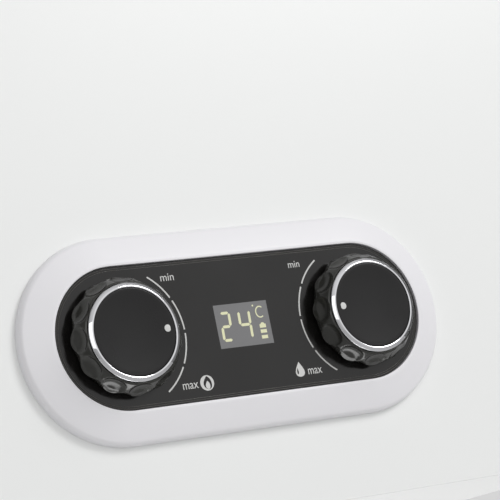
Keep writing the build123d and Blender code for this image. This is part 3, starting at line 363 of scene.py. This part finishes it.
trimShape = {
    "outer": 17.4,
    "inner": 15.65,
    "depth": 1.4,  # behind the shoulder
    "bevelWidth": 1.25,
    "bevelHeight": 0.70,
    "crestDrop": 0.02,  # from the knob's foremost point to the ring's crest
    "innerSlope": ((0.1, 0.16), (0.0, 0.55)),  # from the bore outwards, and down from the foremost point
    "radii": (0.1, 0.35, 0.6, 0.12, 0.1),
    "profileSteps": 8,
    "aroundSteps": 256,
}
bodyShape = {
    "foot": 19.4,  # radius where the body meets its gap to the panel
    "footInset": 4,  # how far its flat back reaches in from there
    "widest": 21.8,
    "widestHeight": 3.6,  # from the panel's face
    "shoulder": 18.35,
    "lipWidth": 0.25,  # of the thin rim round the trim
    "lipHeight": 0.35,
    "seatGap": 0.05,  # between the seat and the trim
    "seatDepth": 0.5,
    "seatReach": 1,  # how far the seat reaches in past the trim
    "radii": (0.5, 2.2, 0.35, 0.15, 0.1),
    "profileSteps": 10,
    "flareSamples": 90,
    "aroundSteps": 360,
    "dimples": 12,
    "dimpleDepth": 1.35,
    "dimpleHalfWidth": 4.5,  # along the rim
    "dimpleHalfHeight": 3.5,  # along the knob's axis
    "dimpleShift": 0.2,  # from midway up the flare towards the panel
    "dimplePower": 0.75,  # below one, so that the bowl has a crisp edge
    "lobeHeight": 0.55,  # how far the widest rim swells out at each scallop
    "lobeShift": 0.4,
    "lobeSpread": 2.0,
}


def makeKnobBody(shape, side, centreX, turnOffset):
    widestY = panelY - shape["widestHeight"]
    seatY = shoulderY + shape["seatDepth"]
    footInner = shape["foot"] - shape["footInset"]
    outer = roundedProfile(
        [
            (footInner, knobFootY),
            (shape["foot"], knobFootY),
            (shape["widest"], widestY),
            (shape["shoulder"], shoulderY),
            (trimShape["outer"] + shape["lipWidth"], shoulderY - shape["lipHeight"]),
            (trimShape["outer"] + shape["seatGap"], seatY),
            (trimShape["inner"] - shape["seatReach"], seatY),
        ],
        shape["radii"],
        shape["profileSteps"],
    )
    # extra points along the flare, so that the dimples are smooth
    length = np.concatenate([[0], np.cumsum(np.linalg.norm(np.diff(outer, axis=0), axis=1))])
    samples = np.unique(np.concatenate([length, np.linspace(0, length[-1], shape["flareSamples"])]))
    outer = np.stack([np.interp(samples, length, outer[:, k]) for k in (0, 1)], axis=1)
    points = turned(centreX, outer, shape["aroundSteps"])
    # across and up run from minus one to one over each dimple's ellipse, and its bowl is one less their squares
    turn = np.linspace(0, 360, shape["aroundSteps"], endpoint=False) - turnOffset
    pitch = 360 / shape["dimples"]
    fromMiddle = (turn + pitch / 2) % pitch - pitch / 2
    across = np.radians(fromMiddle)[None, :] * outer[:, 0][:, None] / shape["dimpleHalfWidth"]
    middleY = (widestY + shoulderY) / 2 + shape["dimpleShift"]
    up = ((outer[:, 1] - middleY) / shape["dimpleHalfHeight"])[:, None]
    bowl = np.clip(1 - across**2 - up**2, 0, 1) ** shape["dimplePower"]
    # the rim swells by a bell curve along the axis times a cosine wave with one crest for each dimple
    alongAxis = np.exp(-(((outer[:, 1] - widestY - shape["lobeShift"]) / shape["lobeSpread"]) ** 2))[:, None]
    swell = alongAxis * (np.cos(np.radians(fromMiddle) * shape["dimples"]) - 1)
    inward = points - np.array([centreX, 0, controlZ])
    inward[..., 1] = 0
    inward /= np.linalg.norm(inward, axis=-1, keepdims=True)
    points = points + inward * (swell * shape["lobeHeight"] - bowl * shape["dimpleDepth"])[..., None]
    back = turned(centreX, np.array([[pole, knobFootY], [footInner, knobFootY]]), shape["aroundSteps"])
    front = turned(centreX, np.array([[pole, seatY]]), shape["aroundSteps"])
    points = np.concatenate([back, points[1:], front])
    knob = gridMesh(f"{side}_knob_body", points, made["gloss black ABS"])
    tidyMesh(knob, merge=0.02)
    return knob


def makeKnobTrim(shape, side, centreX):
    backY = shoulderY + shape["depth"]
    profile = roundedProfile(
        [
            (shape["inner"], backY),
            (shape["outer"], backY),
            (shape["outer"], knobFaceY + shape["bevelHeight"]),
            (shape["outer"] - shape["bevelWidth"], knobFaceY + shape["crestDrop"]),
            *[(shape["inner"] + out, knobFaceY + drop) for out, drop in shape["innerSlope"]],
            (shape["inner"], backY),
        ],
        shape["radii"],
        shape["profileSteps"],
    )
    ring = gridMesh(
        f"{side}_knob_trim", turned(centreX, profile, shape["aroundSteps"]), made["polished chrome plate"]
    )
    tidyMesh(ring)
    return ring


faceShape = {
    "radius": trimShape["inner"] - 0.05,
    "edgeWidth": 0.6,  # the part outside the dish
    "edgeDrop": 0.34,  # below the knob's foremost point
    "rimDrop": 0.3,
    "dish": 0.45,  # how deep it dips in its middle
    "dishSteps": 14,
    "depth": 1.2,  # behind the shoulder
    "radii": (0.25, 0.1),
    "aroundSteps": 192,
}


def makeKnobFace(shape, side, centreX):
    # the dish deepens from its rim to its middle by one less the square of its share of the radius
    radius = np.linspace(pole, shape["radius"] - shape["edgeWidth"], shape["dishSteps"])
    deeper = shape["dish"] * (1 - (radius / shape["radius"]) ** 2)
    dish = np.stack([radius, knobFaceY + shape["rimDrop"] + deeper], axis=1)
    backY = shoulderY + shape["depth"]
    edge = roundedProfile(
        [dish[-1], (shape["radius"], knobFaceY + shape["edgeDrop"]), (shape["radius"], backY), (pole, backY)],
        shape["radii"],
    )
    points = turned(centreX, np.concatenate([dish[:-1], edge]), shape["aroundSteps"])
    cap = gridMesh(f"{side}_knob_face", points, made["satin black ABS"])
    tidyMesh(cap, merge=0.02)
    return cap


dotShape = {
    "radius": 1.28,
    "reach": 12.8,  # from the knob's axis
    "top": (0.38, 0.4),  # below the knob's foremost point, in its middle and at its edge
    "bottom": 0.9,
    "radii": (0.08, 0.1),
    "profileSteps": 4,
    "aroundSteps": 48,
}


def makeKnobDot(shape, side, centreX, pointerAngle):
    middleTop, edgeTop = shape["top"]
    profile = roundedProfile(
        [
            (pole, knobFaceY + middleTop),
            (shape["radius"], knobFaceY + edgeTop),
            (shape["radius"], knobFaceY + shape["bottom"]),
            (pole, knobFaceY + shape["bottom"]),
        ],
        shape["radii"],
        shape["profileSteps"],
    )
    x = centreX + shape["reach"] * cos(radians(pointerAngle))
    z = shape["reach"] * sin(radians(pointerAngle))
    points = turned(0, profile, shape["aroundSteps"]) + np.array([x, 0, z])
    dot = gridMesh(f"{side}_knob_dot", points, made["pale grey screen print"])
    tidyMesh(dot)
    return dot


def makeKnob(side, body, centreX, pointerAngle):
    turnOffset = pointerAngle % (360 / bodyShape["dimples"])
    for piece, node, slotName in (
        (makeKnobBody(bodyShape, side, centreX, turnOffset), f"{side}_knob", "black_knob_plastic"),
        (makeKnobTrim(trimShape, side, centreX), f"{side}_knob_ring", "chrome_plating"),
        (makeKnobFace(faceShape, side, centreX), f"{side}_knob_cap", "black_satin_plastic"),
        (makeKnobDot(dotShape, side, centreX, pointerAngle), f"{side}_knob_pointer", "pale_grey_paint"),
    ):
        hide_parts(node)
        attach(piece, body)


makeKnob("left", "gas_knob", -knobHalf, 0)
makeKnob("right", "water_knob", knobHalf, 176.5)
print("knobs done")


# prints on the control panel

printRise = 0.04  # of ordinary print above the panel's face


def flatPrint(name, outlines, look="pale grey screen print", rise=printRise):
    # thin prints: closed outlines in X and Z, raised a hair's breadth from the panel's face and closed behind
    points = []
    polygons = []
    frontPlane = panelY - rise
    for outline in outlines:
        outline = np.asarray(outline, float)
        count = len(outline)
        start = len(points)
        points.extend([(x, frontPlane, z) for x, z in outline])
        points.extend([(x, panelY, z) for x, z in outline])
        polygons.append([start + k for k in range(count)])
        polygons.append([start + count + k for k in reversed(range(count))])
        polygons.extend(
            [start + k, start + count + k, start + count + (k + 1) % count, start + (k + 1) % count]
            for k in range(count)
        )
    piece = meshObject(name, points, polygons, made[look], smooth=False)
    tidyMesh(piece, merge=0.0001)
    prints.append(piece)
    return piece


arcShape = {
    "radius": 25.0,
    "width": 0.55,
    "count": 4,  # strips beside each knob
    "span": 25.5,  # degrees
    "gap": 3.0,
    "steps": 24,
}


def arcStrip(shape, centreX, start):
    turn = np.radians(np.linspace(start, start + shape["span"], shape["steps"]))
    rim = np.stack([np.cos(turn), np.sin(turn)], axis=1)
    middle = np.array([centreX, controlZ])
    outer = middle + rim * (shape["radius"] + shape["width"] / 2)
    inner = middle + rim * (shape["radius"] - shape["width"] / 2)
    return np.concatenate([outer, inner[::-1]])


def makeArcs(shape):
    step = shape["span"] + shape["gap"]
    first = -(shape["count"] * shape["span"] + (shape["count"] - 1) * shape["gap"]) / 2
    strips = [
        arcStrip(shape, centreX, middle + first + index * step)
        for centreX, middle in ((-knobHalf, 0), (knobHalf, 180))
        for index in range(shape["count"])
    ]
    flatPrint("range_arcs", strips)


def makeWord(name, word, xRange, zRange):
    # a word as raised print, fitted to the box given by xRange and zRange and to the print's rise
    curve = bpy.data.curves.new(name, "FONT")
    curve.body = word
    curve.resolution_u = 4
    curve.extrude = 0.01
    holder = bpy.data.objects.new(name + "_text", curve)
    bpy.context.scene.collection.objects.link(holder)
    bpy.context.view_layer.update()
    mesh = bpy.data.meshes.new_from_object(holder)
    bpy.data.objects.remove(holder)
    flat = np.empty(len(mesh.vertices) * 3)
    mesh.vertices.foreach_get("co", flat)
    flat = flat.reshape(-1, 3)
    low, high = flat.min(axis=0), flat.max(axis=0)
    share = (flat - low) / (high - low)
    placed = np.stack(
        [
            xRange[0] + share[:, 0] * (xRange[1] - xRange[0]),
            panelY - printRise * share[:, 2],
            controlZ + zRange[0] + share[:, 1] * (zRange[1] - zRange[0]),
        ],
        axis=1,
    )
    mesh.vertices.foreach_set("co", (placed * mm).ravel())
    mesh.materials.clear()
    mesh.materials.append(made["pale grey screen print"])
    mesh.update()
    piece = bpy.data.objects.new(name, mesh)
    bpy.context.scene.collection.objects.link(piece)
    prints.append(piece)


def flameOutline(centre, height, width, lean=0.18, steps=40):
    # a flame: its half width is a sine times a power of the half turn's sine, a third less at the tip, and it
    # leans to one side by the cube of its height
    turn = np.linspace(0, 2 * pi, steps, endpoint=False)
    up = (1 - np.cos(turn)) / 2
    half = np.sin(turn) * np.sin(turn / 2) ** 0.9 * (1 - 0.35 * up)
    x = centre[0] - width * 0.62 * half[::-1] + lean * width * (up[::-1] ** 3)
    return np.stack([x, centre[1] + height * (0.5 - up)], axis=1)


def dropOutline(centre, height, width, steps=48):
    # a water drop: a circle whose half width is also scaled by a power of the half turn's sine, which draws it
    # to a point above
    turn = np.linspace(0, 2 * pi, steps, endpoint=False)
    x = width / 2 * np.sin(turn) * np.sin(turn / 2) ** 1.4 * 1.22
    z = height / 2 * np.cos(turn)
    return np.stack([centre[0] + x, centre[1] + z], axis=1)


printShapes = {
    "words": (
        # name, word, its left and right edges, its lower and upper edges
        ("word_min_left", "min", (-29.7, -24.3), (18.6, 21.2)),
        ("word_min_right", "min", (23.3, 28.1), (18.7, 21.1)),
        ("word_max_left", "max", (-29.1, -22.9), (-20.6, -18.5)),
        ("word_max_right", "max", (22.6, 28.5), (-20.9, -18.8)),
    ),
    "flameDisc": (-19.3, -19.2),
    "flameRadius": 2.75,
    # each outline's shift from the sign's middle, its height and its width
    "flameDark": ((0.0, 0.1), 4.7, 4.2),
    "flameInner": ((0.05, -0.75), 2.9, 2.3),
    "drop": (19.3, -18.6),
    "dropSize": (5.5, 4.3),
    "glint": ((-0.95, -0.55), 2.3, 0.75),
    "overprintRises": (0.07, 0.10),  # of the first and the second print over another
    "circleSteps": 48,
}


def makePanelPrints(shape):
    makeArcs(arcShape)
    for name, word, xRange, zRange in shape["words"]:
        makeWord(name, word, xRange, zRange)
    lift = np.array([0, controlZ])
    second, third = shape["overprintRises"]
    discPlace = np.array(shape["flameDisc"])
    around = np.linspace(0, 2 * pi, shape["circleSteps"], endpoint=False)
    disc = discPlace + shape["flameRadius"] * np.stack([np.cos(around), np.sin(around)], axis=1)
    flatPrint("flame_disc", [disc + lift])
    shift, height, width = shape["flameDark"]
    dark = flameOutline(discPlace + shift, height, width) + lift
    flatPrint("flame_dark", [dark], "glossy black panel film", second)
    shift, height, width = shape["flameInner"]
    flatPrint("flame_inner", [flameOutline(discPlace + shift, height, width) + lift], rise=third)
    dropPlace = np.array(shape["drop"])
    flatPrint("water_drop", [dropOutline(dropPlace, *shape["dropSize"]) + lift])
    shift, height, width = shape["glint"]
    glint = dropOutline(dropPlace + shift, height, width) + lift
    flatPrint("water_drop_glint", [glint], "glossy black panel film", second)


hairLines = {"insets": (0.45, 1.15), "width": 0.16, "rise": 0.03}


def makeHairLines(shape):
    # two fine moulded lines that run round the panel just inside its edge
    for index, inset in enumerate(shape["insets"]):
        outer = panelRadius - inset
        inner = outer - shape["width"]
        profile = np.array(
            [(outer, panelY), (outer, panelY - shape["rise"]), (inner, panelY - shape["rise"]), (inner, panelY)]
        )
        prints.append(sweptOval(f"panel_hair_line_{index}", profile, made["dark moulded edge"]))


# display: a grey film with lit segments that show a temperature, the degree sign and a battery

displayShape = {
    "filmMargin": 0.1,
    "filmRise": 0.02,
    "digitHeight": 10.9,
    "digitWidths": {"2": 4.5, "4": 5.2},
    "stroke": 1.02,
    "gap": 0.14,  # at each end of a bar
    "slant": 0.03,
    "digits": ((-9.5, "2"), (-2.0, "4")),  # left edge and figure
    "baseline": -5.6,
    "rise": 0.05,
    "letterC": ((5.75, 9.0), (1.7, 6.1)),
    "letterStroke": 0.45,
    "letterShift": 0.25,  # how far the C's middle lies right of its box's middle, which widens its bow
    "letterSweep": (52, 308),  # degrees
    "letterSteps": 28,
    "degree": (5.1, 6.4, 0.34),  # middle and radius
    "degreeSteps": 24,
    "batteryLeft": 6.45,
    "batteryWidth": 2.55,
    "batteryCells": ((-1.95, -0.6), (-3.85, -2.6), (-5.95, -4.7)),  # lower and upper edges
    "terminalHeight": 0.55,
}
segmentsOf = {"2": "abged", "4": "fgbc"}


def segmentOutline(letter, left, base, width, shape):
    # one bar of a seven-segment figure, with pointed ends and a slight slant
    height, stroke = shape["digitHeight"], shape["stroke"]
    half = stroke / 2
    ends = {
        "a": ((half, height - half), (width - half, height - half)),
        "g": ((half, height / 2), (width - half, height / 2)),
        "d": ((half, half), (width - half, half)),
        "f": ((half, height / 2), (half, height - half)),
        "b": ((width - half, height / 2), (width - half, height - half)),
        "e": ((half, half), (half, height / 2)),
        "c": ((width - half, half), (width - half, height / 2)),
    }
    start, end = (np.array(point, float) for point in ends[letter])
    along = (end - start) / np.linalg.norm(end - start)
    across = np.array([-along[1], along[0]]) * half
    start = start + along * shape["gap"]
    end = end - along * shape["gap"]
    tip = along * half
    outline = np.array(
        [start, start + tip + across, end - tip + across, end, end - tip - across, start + tip - across]
    )
    outline[:, 0] += shape["slant"] * outline[:, 1] + left
    outline[:, 1] += base
    return outline


def makeDisplay(shape):
    left, low = windowLow[[0, 2]] - shape["filmMargin"]
    right, high = windowHigh[[0, 2]] + shape["filmMargin"]
    corners = [(left, low), (right, low), (right, high), (left, high)]
    film = flatPrint("display_film", [corners], "grey display film", shape["filmRise"])
    lift = np.array([0, controlZ])
    bars = []
    for left, figure in shape["digits"]:
        width = shape["digitWidths"][figure]
        for letter in segmentsOf[figure]:
            bars.append(segmentOutline(letter, left, shape["baseline"], width, shape) + lift)
    flatPrint("display_digits", bars, "lit display segment", shape["rise"])
    (cLeft, cRight), (cLow, cHigh) = shape["letterC"]
    middle = np.array([(cLeft + cRight) / 2 + shape["letterShift"], (cLow + cHigh) / 2])
    reach = np.array([(cRight - cLeft) / 2 + shape["letterShift"], (cHigh - cLow) / 2])
    sweep = np.radians(np.linspace(*shape["letterSweep"], shape["letterSteps"]))
    rim = np.stack([np.cos(sweep), np.sin(sweep)], axis=1)
    ring = np.concatenate([middle + rim * reach, (middle + rim * (reach - shape["letterStroke"]))[::-1]])
    dotX, dotZ, dotRadius = shape["degree"]
    around = np.linspace(0, 2 * pi, shape["degreeSteps"], endpoint=False)
    dot = np.stack([dotX + dotRadius * np.cos(around), dotZ + dotRadius * np.sin(around)], axis=1)
    flatPrint("display_unit", [ring + lift, dot + lift], "lit display segment", shape["rise"])
    cells = []
    left, width = shape["batteryLeft"], shape["batteryWidth"]
    for index, (low, high) in enumerate(shape["batteryCells"]):
        right = left + width
        corners = [(left, low), (right, low), (right, high)]
        if index == 0:  # the top cell carries the terminal
            third = width / 3
            crest = high + shape["terminalHeight"]
            corners += [(right - third / 2, high), (right - third, crest)]
            corners += [(left + third, crest), (left + third / 2, high)]
        corners.append((left, high))
        cells.append(np.array(corners) + lift)
    flatPrint("display_battery", cells, "lit display segment", shape["rise"])
    return film


prints = []
makePanelPrints(printShapes)
makeHairLines(hairLines)
displayFilm = makeDisplay(displayShape)
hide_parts("display_window")
for printed in prints:
    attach(printed, "case")
print("panel prints and display done")


# stage, lights and camera

floorShape = {"level": -1600, "reach": 4000}  # the heater hangs at head height


def makeFloor(shape):
    reach = shape["reach"]
    corners = [(x * reach, y * reach, shape["level"]) for x, y in ((-1, -1), (1, -1), (1, 1), (-1, 1))]
    plane = meshObject("floor", corners, [[0, 1, 2, 3]], made["pale floor paint"], smooth=False)


makeFloor(floorShape)

cameraSetup = {
    "place": (-418.6, -887.9, -326.6),
    "right": (0.85661721, -0.47695118, -0.19678547),
    "down": (-0.08332787, 0.24850682, -0.96503929),
    "forward": (0.50917916, 0.84306698, 0.17313189),
    "lens": 167.53,
}
cameraData = bpy.data.cameras.new("camera")
cameraData.sensor_width = 36.0
cameraData.lens = cameraSetup["lens"]
cameraData.clip_start = 0.01
camera = bpy.data.objects.new("camera", cameraData)
bpy.context.scene.collection.objects.link(camera)
up = [-value for value in cameraSetup["down"]]
backward = [-value for value in cameraSetup["forward"]]
turn = Matrix((cameraSetup["right"], up, backward)).transposed()
camera.matrix_world = Matrix.Translation(Vector(cameraSetup["place"]) * mm) @ turn.to_4x4()
bpy.context.scene.camera = camera

lamps = {
    "key": {"place": (1000, -1450, 760), "aim": (0, -170, -150), "size": 700, "watts": 12.5},
    "leftPanel": {"place": (-860, -1480, 60), "aim": (0, -170, -200), "size": 850, "watts": 2.3},
    "underLight": {"place": (-100, 100, -900), "aim": (0, -90, -310), "size": 500, "watts": 3.4},
}
for name, setup in lamps.items():
    lampData = bpy.data.lights.new(name, "AREA")
    lampData.shape = "SQUARE"
    lampData.size = setup["size"] * mm
    lampData.energy = setup["watts"]
    lamp = bpy.data.objects.new(name, lampData)
    bpy.context.scene.collection.objects.link(lamp)
    lamp.location = Vector(setup["place"]) * mm
    aim = (Vector(setup["aim"]) - Vector(setup["place"])).to_track_quat("-Z", "Y")
    lamp.rotation_euler = aim.to_euler()

roomLight = {
    "base": 0.09,
    "glows": (
        # direction, cosine where the glow starts, cosine where it is full, strength
        ((0.33, -0.90, 0.28), 0.28, 1.0, 0.80),  # the bright side of the studio, up and to the right in front
        ((0.0, 1.0, 0.1), 0.05, 0.60, 0.58),  # the pale backdrop behind
        ((-0.93, -0.34, 0.10), 0.72, 1.0, 0.40),  # a white board on the left
    ),
}


def makeRoomLight(setup):
    # an even base, to which each glow adds light that fades smoothly away from its direction
    world = bpy.data.worlds.new("room light")
    bpy.context.scene.world = world
    world.use_nodes = True
    tree = world.node_tree
    background = tree.nodes["Background"]
    background.inputs["Color"].default_value = linearColour("FFFFFF")
    place = addNode(tree, "ShaderNodeTexCoord")
    total = None
    for direction, start, full, strength in setup["glows"]:
        cosine = addNode(
            tree, "ShaderNodeVectorMath", {0: place.outputs["Generated"]}, operation="DOT_PRODUCT"
        )
        cosine.inputs[1].default_value = Vector(direction).normalized()
        fade = addNode(
            tree, "ShaderNodeMapRange", {"Value": cosine.outputs["Value"]}, interpolation_type="SMOOTHSTEP",
            From_Min=start, From_Max=full, To_Min=0.0, To_Max=strength,
        )
        added = addNode(tree, "ShaderNodeMath", {0: fade.outputs["Result"]}, operation="ADD")
        added.inputs[1].default_value = setup["base"]
        if total:
            tree.links.new(total, added.inputs[1])
        total = added.outputs["Value"]
    tree.links.new(total, background.inputs["Strength"])


makeRoomLight(roomLight)
bpy.context.scene.view_settings.view_transform = "Standard"
print("stage done")

import json
